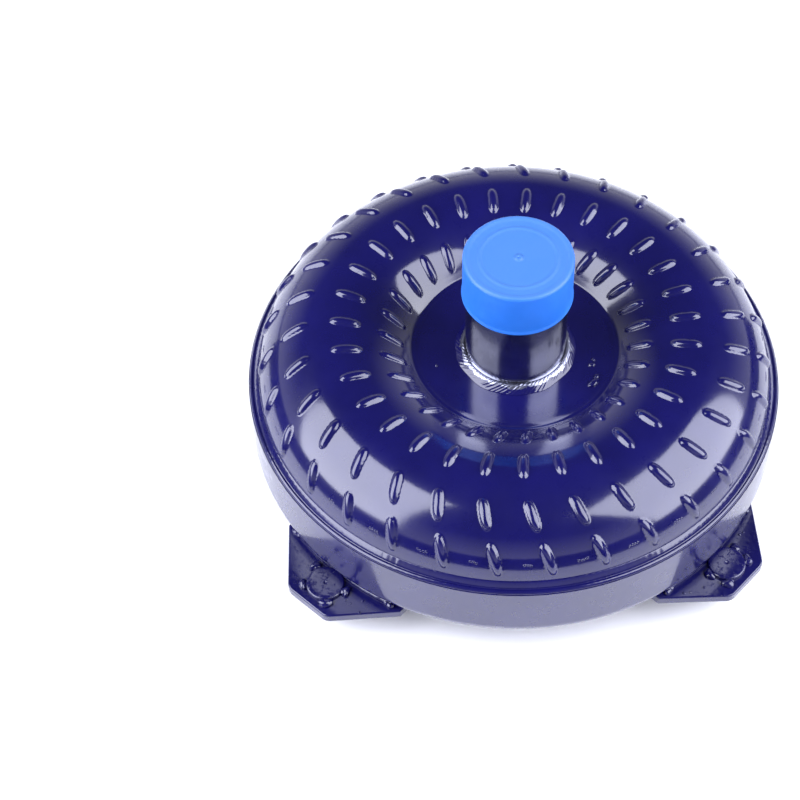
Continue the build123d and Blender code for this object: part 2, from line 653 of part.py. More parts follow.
clutch_height = CAM_HIGH - CAM_LOW - 2 * RUNNING
with BuildPart() as clutch_rollers:
    with Locations((0, 0, CAM_LOW + RUNNING)):
        with PolarLocations(ROLLER_MID_R, ROLLER_COUNT):
            Cylinder(ROLLER_R, clutch_height, align=(Align.CENTER, Align.CENTER, Align.MIN))
save(clutch_rollers.part, "clutch_rollers")

fold_pitch = (SPRING_POCKET_LENGTH - spring_start - SPRING_T) / SPRING_FOLDS
with BuildPart() as clutch_spring:
    with BuildSketch(Plane.XY.offset(CAM_LOW + RUNNING)):
        with BuildLine():
            Polyline(*[
                (CAM_LAND_R + SPRING_T + SPRING_HEIGHT * (fold % 2), spring_start + fold * fold_pitch)
                for fold in range(SPRING_FOLDS + 1)
            ])
            offset(amount=SPRING_T / 2)
        make_face()
    extrude(amount=clutch_height)

with BuildPart() as clutch_springs:
    with PolarLocations(0, ROLLER_COUNT):
        add(clutch_spring.part)
save(clutch_springs.part, "clutch_springs")

with BuildPart() as clutch_inner_race:
    add(ring(RACE_BLANK_R, CLUTCH_RACE_R, CLUTCH_RACE_LOW, CLUTCH_RACE_HIGH))
    add(splined(STATOR_SPLINE_R, STATOR_TEETH, CLUTCH_RACE_LOW, CLUTCH_RACE_HIGH), mode=Mode.SUBTRACT)
save(clutch_inner_race.part, "clutch_inner_race")
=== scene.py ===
import json
import math
import random

import bpy
import numpy as np
from mathutils import Matrix, Vector


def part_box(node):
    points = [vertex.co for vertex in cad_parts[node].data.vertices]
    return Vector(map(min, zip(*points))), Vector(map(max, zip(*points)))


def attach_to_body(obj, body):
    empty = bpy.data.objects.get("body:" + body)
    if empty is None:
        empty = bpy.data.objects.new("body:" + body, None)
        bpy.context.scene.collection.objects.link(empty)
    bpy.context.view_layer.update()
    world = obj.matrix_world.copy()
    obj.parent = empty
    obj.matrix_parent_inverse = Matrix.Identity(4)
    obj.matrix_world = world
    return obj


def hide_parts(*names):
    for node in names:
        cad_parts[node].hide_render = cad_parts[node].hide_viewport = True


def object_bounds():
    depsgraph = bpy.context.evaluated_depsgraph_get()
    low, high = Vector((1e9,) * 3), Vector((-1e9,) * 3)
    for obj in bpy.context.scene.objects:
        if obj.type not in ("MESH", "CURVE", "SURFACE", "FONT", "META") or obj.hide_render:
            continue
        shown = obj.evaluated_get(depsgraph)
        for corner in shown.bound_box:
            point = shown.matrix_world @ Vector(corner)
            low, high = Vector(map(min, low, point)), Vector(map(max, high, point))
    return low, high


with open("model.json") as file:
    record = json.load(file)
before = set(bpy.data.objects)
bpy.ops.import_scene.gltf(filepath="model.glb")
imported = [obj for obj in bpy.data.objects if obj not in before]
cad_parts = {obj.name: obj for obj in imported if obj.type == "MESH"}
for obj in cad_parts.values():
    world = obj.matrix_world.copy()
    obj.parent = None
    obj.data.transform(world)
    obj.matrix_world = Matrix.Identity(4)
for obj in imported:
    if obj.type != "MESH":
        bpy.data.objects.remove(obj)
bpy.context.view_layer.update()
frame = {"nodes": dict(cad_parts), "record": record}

# Looks of a torque converter: painted housing with pressed bumps, ground hub, moulded cap and welds.
# Lengths are in metres, azimuths in degrees. The frame is the CAD's: +Z along the axis towards the hub.

# ---------------------------------------------------------------- driving dimensions
MM = 0.001
RIM_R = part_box("impeller_shell")[1].x
HUB_R = 23.81 * MM
TORUS_R, TORUS_Z, TORUS_ARC = 86.8 * MM, 37.5 * MM, 36.5 * MM
FLANK_ARC = 51.5 * MM
CREST_Z = TORUS_Z + TORUS_ARC
FLANK_Z = CREST_Z - FLANK_ARC
RECESS_Z = 57.5 * MM
RECESS_LANDING = 2.0 * MM     # how far the rounded corner runs out onto the recess floor
SHELL_T, SHELL_LOW = 3.0 * MM, 36.0 * MM
FIT_GAP = 0.05 * MM

# 31 lines of bumps, each on a curve that turns at FIN_TURN_R
FIN_COUNT = 31
FIN_PHASE = -92.0
FIN_TURN_R = 84.0 * MM
FIN_CURVE = 0.00415 / MM**2
COLUMNS_PER_FIN = 40
BUMP_HALF_WIDTH, BUMP_HEIGHT = 2.35 * MM, 1.7 * MM
BUMP_END, BUMP_CROWN = 3.4, 0.62   # how blunt a bump's ends are, and how full its crown is
# Each row of bumps: radius on the shell, half length up the shell and half length down it.
BUMP_ROWS = (
    (58.4 * MM, 7.2 * MM, 7.0 * MM),
    (80.2 * MM, 7.2 * MM, 7.2 * MM),
    (104.2 * MM, 7.4 * MM, 7.4 * MM),
    (118.4 * MM, 7.4 * MM, 9.5 * MM),
)
RIDGE_R, RIDGE_WIDTH, RIDGE_HEIGHT = 47.6 * MM, 0.9 * MM, 0.45 * MM
STAKE_AZIMUTH, STAKE_Z, STAKE_PITCH = -114.4, 53.0 * MM, 1.35 * MM

# Studs and lugs
LUG_AZIMUTHS = (45, 135, 225, 315)
LUG_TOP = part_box("mounting_lug_1")[1].z
STUD_CIRCLE_R = 133.35 * MM
STUD_LOW, STUD_HEAD_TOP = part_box("mounting_stud_1")[0].z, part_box("mounting_stud_1")[1].z
STUD_R, THREAD_PITCH, THREAD_DEPTH = 4.7625 * MM, 1.058 * MM, 0.55 * MM
STUD_NECK_R, STUD_SHOULDER_R, STUD_HEAD_R = 4.2 * MM, 5.1 * MM, 9.0 * MM
TACK_ANGLES = (50, 110, -110, -50)
LUG_BEAD_R, LUG_BEAD_HALF_SPAN, LUG_BEAD_SIZE = 124.4 * MM, 14.0, 1.25 * MM

AXIS_R = 0.02 * MM            # where an outline ends at its axis

# Blobs of paint: centre, half sizes and azimuth of the first axis, in millimetres and degrees.
PAINT_BLOBS = (
    ((35.4, -23.4, 57.5), (3.4, 1.8, 1.4), 40),
    ((37.0, -20.0, 57.5), (2.0, 1.2, 1.0), 75),
    ((35.5, -12.6, 57.5), (1.9, 1.1, 0.9), 10),
    ((36.6, -9.4, 57.5), (1.1, 0.9, 0.7), 100),
    ((35.5, -41.4, 58.2), (2.0, 1.2, 1.0), 70),
    ((-38.0, -9.0, 57.5), (0.9, 0.7, 0.5), 120),
)


# ---------------------------------------------------------------- mesh helpers
def new_object(name, vertices, faces, chosen):
    """A smooth mesh object from arrays of vertices and faces."""
    mesh = bpy.data.meshes.new(name)
    mesh.from_pydata([tuple(v) for v in vertices], [], [tuple(f) for f in faces])
    mesh.validate()
    mesh.update()
    mesh.polygons.foreach_set("use_smooth", [True] * len(mesh.polygons))
    piece = bpy.data.objects.new(name, mesh)
    bpy.context.scene.collection.objects.link(piece)
    piece.data.materials.append(chosen)
    return piece


def grid_faces(rows, columns, wrap_rows=False, offset=0, flip=False):
    """Quads of a grid that is closed round its columns, and round its rows as well if asked."""
    last = rows if wrap_rows else rows - 1
    i, j = np.meshgrid(np.arange(last), np.arange(columns), indexing="ij")
    i2, j2 = (i + 1) % rows, (j + 1) % columns
    quads = np.stack([i * columns + j, i * columns + j2, i2 * columns + j2, i2 * columns + j], -1)
    quads = quads.reshape(-1, 4) + offset
    return quads[:, ::-1] if flip else quads


def columns_of(values, columns):
    """A profile's values repeated for every column of the revolved mesh."""
    return np.repeat(np.asarray(values)[:, None], columns, 1)


def revolve(name, profile, columns, chosen, wobble):
    """A solid of revolution from a closed outline of (r, z). wobble(r, z, angle) shifts radius and height."""
    profile = np.array(profile)
    angle = np.linspace(0, 2 * math.pi, columns, endpoint=False)
    r, z = columns_of(profile[:, 0], columns), columns_of(profile[:, 1], columns)
    turn = np.repeat(angle[None, :], len(profile), 0)
    r, z = wobble(r, z, turn)
    vertices = np.stack([r * np.cos(turn), r * np.sin(turn), z], -1).reshape(-1, 3)
    return new_object(name, vertices, grid_faces(len(profile), columns, wrap_rows=True), chosen)


def arc(centre, radius, start, end, count):
    """Points of an arc in the meridian plane, angles in degrees."""
    angles = np.radians(np.linspace(start, end, count))
    return np.stack([centre[0] + radius * np.cos(angles), centre[1] + radius * np.sin(angles)], -1)


def bezier(start, corner, end, t):
    """A point of the curve that leaves start towards corner and bends in to end."""
    return (1 - t) ** 2 * start + 2 * t * (1 - t) * corner + t**2 * end


def rounded(outline, radius, count):
    """A closed outline of (r, z) corners with each corner rounded."""
    outline = np.array(outline, float)
    points = []
    for k, corner in enumerate(outline):
        before, after = outline[k - 1], outline[(k + 1) % len(outline)]
        to_before, to_after = before - corner, after - corner
        reach = min(radius, 0.45 * np.linalg.norm(to_before), 0.45 * np.linalg.norm(to_after))
        a = corner + to_before / np.linalg.norm(to_before) * reach
        b = corner + to_after / np.linalg.norm(to_after) * reach
        for t in np.linspace(0, 1, count):
            points.append(bezier(a, corner, b, t))
    return points


def refine(points, step):
    """Adds points along a closed outline so that no side is longer than step."""
    dense = []
    for k, point in enumerate(points):
        following = np.array(points[(k + 1) % len(points)])
        point = np.array(point)
        parts = max(1, math.ceil(np.linalg.norm(following - point) / step))
        dense += [point + (following - point) * n / parts for n in range(parts)]
    return dense


def ripple(seed, waves, size):
    """A smooth periodic wobble over an angle, made of a few sine waves with fixed phases."""
    draw = random.Random(seed)
    terms = [(wave, draw.uniform(0, 2 * math.pi), draw.uniform(0.4, 1.0)) for wave in waves]
    total = sum(weight for _, _, weight in terms)
    return lambda angle: size * sum(w * np.sin(n * angle + p) for n, p, w in terms) / total


# ---------------------------------------------------------------- node helpers
def material(name):
    """A new node material with its Principled shader, its tree and a place vector."""
    made = bpy.data.materials.new(name)
    made.use_nodes = True
    tree = made.node_tree
    shader = tree.nodes["Principled BSDF"]
    place = tree.nodes.new("ShaderNodeTexCoord").outputs["Object"]
    return made, tree, shader, place


def noise(tree, place, scale, detail=4.0, roughness=0.55):
    """Fractal noise over a place, with its scale in cycles per metre."""
    node = tree.nodes.new("ShaderNodeTexNoise")
    node.inputs["Scale"].default_value = scale
    node.inputs["Detail"].default_value = detail
    node.inputs["Roughness"].default_value = roughness
    tree.links.new(place, node.inputs["Vector"])
    return node.outputs["Fac"]


def ramp(tree, value, low, high, low_colour=(0, 0, 0, 1), high_colour=(1, 1, 1, 1)):
    """One colour up to low and another from high on, blended between them."""
    node = tree.nodes.new("ShaderNodeValToRGB")
    node.color_ramp.elements[0].position = low
    node.color_ramp.elements[1].position = high
    node.color_ramp.elements[0].color = low_colour
    node.color_ramp.elements[1].color = high_colour
    tree.links.new(value, node.inputs["Fac"])
    return node.outputs["Color"]


def grey(level):
    """A plain grey, opaque."""
    return (level, level, level, 1)


def maths(tree, operation, first, second=None):
    """A maths node on sockets or plain numbers."""
    node = tree.nodes.new("ShaderNodeMath")
    node.operation = operation
    for socket, value in zip(node.inputs, (first, second)):
        if value is None:
            continue
        if isinstance(value, (int, float)):
            socket.default_value = value
        else:
            tree.links.new(value, socket)
    return node.outputs["Value"]


def mix_colour(tree, factor, first, second):
    """Blends from the first colour to the second, each a socket or a plain colour."""
    node = tree.nodes.new("ShaderNodeMix")
    node.data_type = "RGBA"
    tree.links.new(factor, node.inputs["Factor"])
    for socket, value in ((node.inputs["A"], first), (node.inputs["B"], second)):
        if isinstance(value, tuple):
            socket.default_value = value
        else:
            tree.links.new(value, socket)
    return node.outputs["Result"]


def bump_chain(tree, shader, layers):
    """Feeds the shader's normal from several heights, each (height, strength, distance in metres)."""
    previous = None
    for height, strength, distance in layers:
        node = tree.nodes.new("ShaderNodeBump")
        node.inputs["Strength"].default_value = strength
        node.inputs["Distance"].default_value = distance
        tree.links.new(height, node.inputs["Height"])
        if previous:
            tree.links.new(previous, node.inputs["Normal"])
        previous = node.outputs["Normal"]
    tree.links.new(previous, shader.inputs["Normal"])
    return previous


def radius_of(tree, place):
    """Distance from the converter's axis, and the height."""
    split = tree.nodes.new("ShaderNodeSeparateXYZ")
    tree.links.new(place, split.inputs["Vector"])
    squares = [maths(tree, "MULTIPLY", split.outputs[axis], split.outputs[axis]) for axis in ("X", "Y")]
    return maths(tree, "SQRT", maths(tree, "ADD", *squares)), split.outputs["Z"]


# ---------------------------------------------------------------- materials
PAINT = (0.0050, 0.0044, 0.072, 1)
PAINT_DARK = (0.0036, 0.0032, 0.055, 1)
BARE = (0.36, 0.37, 0.45, 1)


def blue_paint(name, bare_inside=0.0, pits=0.0, bare_below=None):
    """Gloss deep blue-violet enamel over sheet steel, with orange peel, dust specks and small scuffs.

    Inside bare_inside, measured from the axis, the paint was masked off with a ragged edge. Below the height
    bare_below, the part is plain steel.
    """
    made, tree, shader, place = material(name)
    mottled = mix_colour(tree, ramp(tree, noise(tree, place, 38, 5), 0.35, 0.7), PAINT_DARK, PAINT)
    specks = ramp(tree, noise(tree, place, 900, 2, 0.7), 0.76, 0.80)
    colour = mix_colour(tree, specks, mottled, (0.03, 0.028, 0.12, 1))
    shader.inputs["Coat Weight"].default_value = 1.0
    coat_roughness = ramp(tree, noise(tree, place, 16, 3), 0.3, 0.7, grey(0.08), grey(0.15))
    tree.links.new(coat_roughness, shader.inputs["Coat Roughness"])
    shader.inputs["Specular IOR Level"].default_value = 0.08
    shader.inputs["Coat IOR"].default_value = 1.62
    shader.inputs["IOR"].default_value = 1.5
    base_roughness = ramp(tree, noise(tree, place, 120, 3), 0.3, 0.8, grey(0.24), grey(0.40))
    if bare_inside:
        radius = radius_of(tree, place)[0]
        spread = 5.0 * MM
        ragged = maths(tree, "ADD", radius, maths(tree, "MULTIPLY", noise(tree, place, 170, 6, 0.7), spread))
        painted = maths(tree, "GREATER_THAN", ragged, bare_inside + spread / 2)
        bare = ramp(tree, painted, 0.4, 0.6, (1, 1, 1, 1), (0, 0, 0, 1))
        bare_metal = mix_colour(tree, noise(tree, place, 260, 3), (0.16, 0.17, 0.27, 1), BARE)
        colour = mix_colour(tree, bare, colour, bare_metal)
        tree.links.new(bare, shader.inputs["Metallic"])
    if bare_below is not None:
        height = radius_of(tree, place)[1]
        bare = ramp(tree, maths(tree, "LESS_THAN", height, bare_below), 0.4, 0.6)
        zinc_dark, zinc = (0.20, 0.19, 0.17, 1), (0.52, 0.50, 0.44, 1)
        bare_metal = mix_colour(tree, noise(tree, place, 300, 4), zinc_dark, zinc)
        colour = mix_colour(tree, bare, colour, bare_metal)
        tree.links.new(bare, shader.inputs["Metallic"])
        coat = ramp(tree, bare, 0.4, 0.6, (1, 1, 1, 1), (0, 0, 0, 1))
        tree.links.new(coat, shader.inputs["Coat Weight"])
    tree.links.new(colour, shader.inputs["Base Color"])
    tree.links.new(base_roughness, shader.inputs["Roughness"])
    layers = [(noise(tree, place, 330, 3), 0.10, 0.10 * MM), (noise(tree, place, 26, 2), 0.22, 0.5 * MM)]
    if pits:
        pocked = ramp(tree, noise(tree, place, 520, 4, 0.75), 0.55, 0.72)
        layers.append((pocked, pits, 0.5 * MM))
    normal = bump_chain(tree, shader, layers)
    tree.links.new(normal, shader.inputs["Coat Normal"])
    return made


def bare_steel(name, tint, roughness):
    """Machined steel: fine turning marks round the axis, soft stains and light scratches."""
    made, tree, shader, place = material(name)
    stretch = tree.nodes.new("ShaderNodeMapping")
    stretch.inputs["Scale"].default_value = (1, 1, 40)
    tree.links.new(place, stretch.inputs["Vector"])
    marks = noise(tree, stretch.outputs["Vector"], 60, 4, 0.6)
    clouds = noise(tree, place, 45, 4)
    dull = tuple(c * 0.55 for c in tint[:3]) + (1,)
    tree.links.new(mix_colour(tree, ramp(tree, clouds, 0.32, 0.62), dull, tint), shader.inputs["Base Color"])
    shader.inputs["Metallic"].default_value = 1.0
    low, high = roughness * 0.75, roughness * 1.3
    tree.links.new(ramp(tree, marks, 0.3, 0.7, grey(low), grey(high)), shader.inputs["Roughness"])
    bump_chain(tree, shader, [(marks, 0.12, 0.08 * MM), (noise(tree, place, 500, 2), 0.05, 0.05 * MM)])
    return made


def cast_metal(name, tint, grain, roughness):
    """Cast or brazed metal with a grainy skin and darker hollows."""
    made, tree, shader, place = material(name)
    skin = noise(tree, place, grain, 6, 0.65)
    dark = tuple(c * 0.5 for c in tint[:3]) + (1,)
    tree.links.new(mix_colour(tree, ramp(tree, skin, 0.3, 0.6), dark, tint), shader.inputs["Base Color"])
    shader.inputs["Metallic"].default_value = 1.0
    dulled = ramp(tree, noise(tree, place, 70, 3), 0.2, 0.8, grey(roughness * 0.8), grey(roughness * 1.3))
    tree.links.new(dulled, shader.inputs["Roughness"])
    bump_chain(tree, shader, [(skin, 0.3, 0.15 * MM)])
    return made


def moulded_plastic(name):
    """Soft blue polyethylene with a faint grain and handling marks, and painted light that makes what faces
    up paler.
    """
    made, tree, shader, place = material(name)
    cloud = mix_colour(tree, ramp(tree, noise(tree, place, 60, 3), 0.3, 0.75),
                       (0.006, 0.115, 0.50, 1), (0.012, 0.140, 0.58, 1))
    scuffs = ramp(tree, noise(tree, place, 480, 5, 0.8), 0.70, 0.82)
    # Painted light: faces turned up are blended to a paler blue, standing in for light falling from above.
    facing = tree.nodes.new("ShaderNodeSeparateXYZ")
    tree.links.new(tree.nodes.new("ShaderNodeNewGeometry").outputs["Normal"], facing.inputs["Vector"])
    painted_top_light = ramp(tree, facing.outputs["Z"], 0.65, 0.97)
    top_lit_colour = mix_colour(tree, painted_top_light, cloud, (0.050, 0.172, 0.48, 1))
    tree.links.new(mix_colour(tree, scuffs, top_lit_colour, (0.07, 0.24, 0.66, 1)), shader.inputs["Base Color"])
    shader.inputs["Subsurface Weight"].default_value = 0.12
    shader.inputs["Subsurface Radius"].default_value = (0.2, 0.5, 1.0)
    shader.inputs["Subsurface Scale"].default_value = 2.0 * MM
    shader.inputs["Specular IOR Level"].default_value = 0.6
    sheen = ramp(tree, noise(tree, place, 90, 3), 0.2, 0.8, grey(0.42), grey(0.55))
    tree.links.new(sheen, shader.inputs["Roughness"])
    grain, waves = noise(tree, place, 750, 3), noise(tree, place, 55, 2)
    bump_chain(tree, shader, [(grain, 0.08, 0.06 * MM), (waves, 0.10, 0.3 * MM)])
    return made


shell_paint = blue_paint("shell_paint")
cover_paint = blue_paint("cover_paint")
lug_paint = blue_paint("lug_paint", pits=0.10)
stud_paint = blue_paint("stud_paint", pits=0.25, bare_below=0.4 * MM)
hub_steel = bare_steel("hub_steel", (0.47, 0.48, 0.56, 1), 0.17)
weld_steel = blue_paint("weld_steel", bare_inside=26.2 * MM)
stud_steel = bare_steel("stud_steel", (0.50, 0.47, 0.40, 1), 0.30)
race_steel = bare_steel("race_steel", (0.58, 0.58, 0.60, 1), 0.18)
sheet_steel = cast_metal("sheet_steel", (0.42, 0.40, 0.38, 1), 240, 0.42)
stator_alloy = cast_metal("stator_alloy", (0.72, 0.73, 0.75, 1), 420, 0.38)
washer_bronze = cast_metal("washer_bronze", (0.60, 0.40, 0.18, 1), 600, 0.35)
cap_plastic = moulded_plastic("cap_plastic")

SLOT_MATERIALS = {
    "blue_paint": cover_paint,
    "stud_steel": stud_steel,
    "ground_steel": hub_steel,
    "bare_weld": weld_steel,
    "blue_plastic": cap_plastic,
    "pressed_steel": sheet_steel,
    "cast_aluminium": stator_alloy,
    "bronze": washer_bronze,
    "hardened_steel": race_steel,
}
for subpart in frame["record"]["subparts"]:
    node = frame["nodes"][subpart["node"]]
    chosen = lug_paint if "lug" in subpart["node"] else SLOT_MATERIALS[subpart["material_slot"]]
    node.data.materials.clear()
    node.data.materials.append(chosen)


# ---------------------------------------------------------------- impeller shell with its pressed bumps
def shell_profile():
    """The shell's outer meridian from the rim up over the crest and down to the hub."""
    recess_angle = math.degrees(math.acos((RECESS_Z - FLANK_Z) / FLANK_ARC))
    rim = [(RIM_R, z) for z in np.linspace(SHELL_LOW, TORUS_Z, 3)[:-1]]
    outer = arc((TORUS_R, TORUS_Z), TORUS_ARC, 0, 90, 82)
    flank = arc((TORUS_R, FLANK_Z), FLANK_ARC, 90, 90 + recess_angle - 2.2, 62)[1:]
    corner_r = TORUS_R - FLANK_ARC * math.sin(math.radians(recess_angle))
    corner = np.array((corner_r, RECESS_Z))
    landing = np.array((corner_r - RECESS_LANDING, RECESS_Z))
    bend = [bezier(flank[-1], corner, landing, t) for t in np.linspace(0.12, 1, 7)]
    level = [(r, RECESS_Z) for r in np.linspace(corner_r - RECESS_LANDING, HUB_R + FIT_GAP, 22)[1:]]
    return np.array(rim + list(outer) + list(flank) + bend + level)


def fin_azimuth(radius):
    """Azimuth of one line of bumps at a radius, in radians."""
    return np.radians(FIN_PHASE + FIN_CURVE * (radius - FIN_TURN_R) ** 2)


def bump_height(radius, length, azimuth):
    """Height of the pressed bumps at points given by radius, length along the meridian and azimuth."""
    pitch = 2 * math.pi / FIN_COUNT
    aside = (azimuth - fin_azimuth(radius) + pitch / 2) % pitch - pitch / 2
    height = np.zeros_like(radius)
    profile_r, profile_s = radius[:, 0], length[:, 0]
    outer_side = profile_s < profile_s[np.argmin(np.abs(profile_r - TORUS_R))]
    for row_r, up, down in BUMP_ROWS:
        usable = outer_side if row_r > TORUS_R else ~outer_side
        index = np.argmin(np.where(usable, np.abs(profile_r - row_r), 1.0))
        row_s = profile_s[index]
        before, after = index - 1, index + 1
        fall = abs(profile_r[after] - profile_r[before]) / (profile_s[after] - profile_s[before])
        lean = math.atan(row_r * abs(math.radians(2 * FIN_CURVE * (row_r - FIN_TURN_R))) * fall)
        across = aside * radius * math.cos(lean)
        along = (length - row_s) / math.cos(lean)
        reach = np.where(along > 0, up, down)
        oval = np.abs(along / reach) ** BUMP_END + (across / BUMP_HALF_WIDTH) ** 2
        crown = BUMP_HEIGHT * np.clip(1 - oval, 0, 1) ** BUMP_CROWN
        height = np.maximum(height, crown)
    return height


def impeller_shell():
    """The pressed shell, outside and inside, with its bumps, its ridge and a slight unevenness."""
    outer = shell_profile()
    steps = np.linalg.norm(np.diff(outer, axis=0), axis=1)
    length = np.concatenate([[0], np.cumsum(steps)])
    tangent = np.gradient(outer, axis=0)
    tangent /= np.linalg.norm(tangent, axis=1)[:, None]
    normal = np.stack([tangent[:, 1], -tangent[:, 0]], -1)
    columns = FIN_COUNT * COLUMNS_PER_FIN
    azimuth = np.linspace(0, 2 * math.pi, columns, endpoint=False)
    r, z = columns_of(outer[:, 0], columns), columns_of(outer[:, 1], columns)
    turn = np.repeat(azimuth[None, :], len(outer), 0)
    lift = bump_height(r, columns_of(length, columns), turn)
    pressed = ripple(3, (2, 3, 5, 9), 0.10 * MM)(turn)
    rim_rows, recess_rows = 6, 24
    pressed[:rim_rows] = 0
    pressed[-recess_rows:] = 0
    pressed += RIDGE_HEIGHT * np.exp(-(((r - RIDGE_R) / RIDGE_WIDTH) ** 2))
    r += normal[:, 0][:, None] * (lift + pressed)
    z += normal[:, 1][:, None] * (lift + pressed)
    inner_rows = np.linspace(len(outer) - 1, 0, 40).astype(int)
    inner = outer[inner_rows] - normal[inner_rows] * SHELL_T
    inner[-1] = (RIM_R - SHELL_T, outer[0][1])
    inner[0] = (outer[-1][0], RECESS_Z - SHELL_T)
    all_r = np.concatenate([r, columns_of(inner[:, 0], columns)])
    all_z = np.concatenate([z, columns_of(inner[:, 1], columns)])
    all_turn = np.repeat(azimuth[None, :], len(all_r), 0)
    vertices = np.stack([all_r * np.cos(all_turn), all_r * np.sin(all_turn), all_z], -1).reshape(-1, 3)
    faces = grid_faces(len(all_r), columns, wrap_rows=True)
    return new_object("shell_pressing", vertices, faces, shell_paint)


# ---------------------------------------------------------------- welds, studs, cap and small marks
def lumps(name, spots, chosen, seed, rows=12, columns=18):
    """One mesh of many uneven beads, each (centre, half sizes, azimuth of its first axis)."""
    draw = random.Random(seed)
    girth = np.linspace(0, 2 * math.pi, columns, endpoint=False)
    drop, turn = np.meshgrid(np.linspace(0, math.pi, rows), girth, indexing="ij")
    vertices, faces = [], []
    for index, (centre, size, azimuth) in enumerate(spots):
        first, second = draw.uniform(0, 2 * math.pi), draw.uniform(0, 2 * math.pi)
        swell = 1 + 0.12 * np.sin(3 * turn + first) * np.sin(drop) ** 2
        swell += 0.10 * np.sin(5 * drop + second + 2 * turn) * np.sin(drop)
        x = swell * np.sin(drop) * np.cos(turn) * size[0]
        y = swell * np.sin(drop) * np.sin(turn) * size[1]
        z = swell * np.cos(drop) * size[2]
        c, k = math.cos(math.radians(azimuth)), math.sin(math.radians(azimuth))
        bead = np.stack([x * c - y * k + centre[0], x * k + y * c + centre[1], z + centre[2]], -1)
        vertices.append(bead.reshape(-1, 3))
        faces.append(grid_faces(rows, columns, offset=index * rows * columns, flip=True))
    return new_object(name, np.concatenate(vertices), np.concatenate(faces), chosen)


def at(radius, azimuth, height):
    """A point given by its distance from the axis, its azimuth in degrees and its height."""
    turn = math.radians(azimuth)
    return np.array((radius * math.cos(turn), radius * math.sin(turn), height))


def attach(piece, body, slot, *nodes):
    """Puts a piece on the body it rides on and hides the CAD nodes it stands in for. The slot argument is not
    used.
    """
    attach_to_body(piece, body)
    if nodes:
        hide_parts(*nodes)


def closure_weld():
    """The weld bead that runs round between the band's edge and the shell, under paint."""
    outline = MM * np.array((
        (123.2, 39.4), (125.6, 39.4), (127.0, 39.8), (127.15, 40.5), (126.7, 41.3), (125.9, 41.75),
        (125.35, 41.5), (125.0, 41.6), (124.6, 42.3), (123.7, 43.5), (122.85, 44.5), (122.2, 44.4),
        (121.8, 42.0),
    ))
    outline = refine(rounded(outline, 0.35 * MM, 4), 0.4 * MM)
    slow = ripple(11, (5, 9, 14, 23), 0.10 * MM)
    fast = ripple(12, (131, 167, 211, 263), 0.05 * MM)

    def uneven(r, z, turn):
        proud = np.clip((z - 40.0 * MM) / (2.0 * MM), 0, 1)
        return r + proud * fast(turn), z + proud * slow(turn) + 0.5 * proud * fast(turn + 1)

    return revolve("closure_bead", outline, 1440, cover_paint, uneven)


def hub_weld():
    """The bare fillet weld round the foot of the pump hub, with the ripples of its run."""
    outline = MM * np.array((
        (24.25, 57.52), (28.9, 57.52), (28.0, 58.15), (26.6, 59.2), (25.2, 60.4), (24.25, 60.5),
    ))
    outline = refine(rounded(outline, 0.4 * MM, 4), 0.3 * MM)
    slow = ripple(21, (3, 7, 11), 0.5 * MM)
    fast = ripple(22, (61, 73, 97), 0.14 * MM)

    def uneven(r, z, turn):
        proud = np.clip((r - 24.3 * MM) / (4.0 * MM), 0, 1) * np.clip((60.6 * MM - z) / (2.0 * MM), 0, 1)
        lift = np.clip((z - 57.55 * MM) / (1.0 * MM), 0, 1)
        return r + proud * slow(turn), z + lift * fast(turn + 60 * r)

    return revolve("hub_fillet", outline, 720, weld_steel, uneven)


def threaded_stud(index, azimuth):
    """A stud with a rolled thread, pressed into its lug from above, with its disc head on the lug."""
    rows = [(AXIS_R, STUD_LOW), (STUD_R - 1.2 * MM, STUD_LOW)]
    rows += [(STUD_R, z) for z in np.arange(STUD_LOW + 0.2 * MM, -1.0 * MM, THREAD_PITCH / 8)]
    rows += [(STUD_NECK_R, -0.8 * MM), (STUD_NECK_R, 0.0), (STUD_SHOULDER_R, 0.0), (STUD_SHOULDER_R, LUG_TOP)]
    rows += [(STUD_HEAD_R - 0.1 * MM, LUG_TOP), (STUD_HEAD_R, LUG_TOP + 0.4 * MM)]
    rows += [(STUD_HEAD_R, STUD_HEAD_TOP - 0.6 * MM), (STUD_HEAD_R - 0.25 * MM, STUD_HEAD_TOP - 0.15 * MM)]
    rows += [(r * MM, STUD_HEAD_TOP) for r in (8.2, 6.5, 4.8, 3.0, 1.4, 0.02)]

    def threaded(r, z, turn):
        shank = (r == STUD_R) & (z < -0.9 * MM)
        groove = THREAD_DEPTH * (0.5 - 0.5 * np.cos(2 * math.pi * z / THREAD_PITCH - turn))
        point = np.clip(1.0 * MM - (z - STUD_LOW), 0, None)
        return np.where(shank, r - np.maximum(groove, point), r), z

    stud = revolve(f"threaded_stud_{index}", rows, 40, stud_paint, threaded)
    stud.data.transform(Matrix.Translation(at(STUD_CIRCLE_R, azimuth, 0)))
    return stud


def tack_spots():
    """The four uneven tack welds round each stud's head."""
    draw = random.Random(31)
    spots = []
    for azimuth in LUG_AZIMUTHS:
        stud = at(STUD_CIRCLE_R, azimuth, LUG_TOP)
        for angle in TACK_ANGLES:
            heading = azimuth + angle + draw.uniform(-7, 7)
            out = at(draw.uniform(10.0, 11.0) * MM, heading, draw.uniform(0.3, 0.8) * MM)
            size = [draw.uniform(*span) * MM for span in ((1.7, 2.3), (2.7, 3.6), (1.5, 2.0))]
            spots.append((stud + out, size, heading))
            bulge = at(draw.uniform(9.4, 10.2) * MM, heading + draw.uniform(-9, 9), 0.9 * MM)
            spots.append((stud + bulge, [0.62 * edge for edge in size], heading))
    return spots


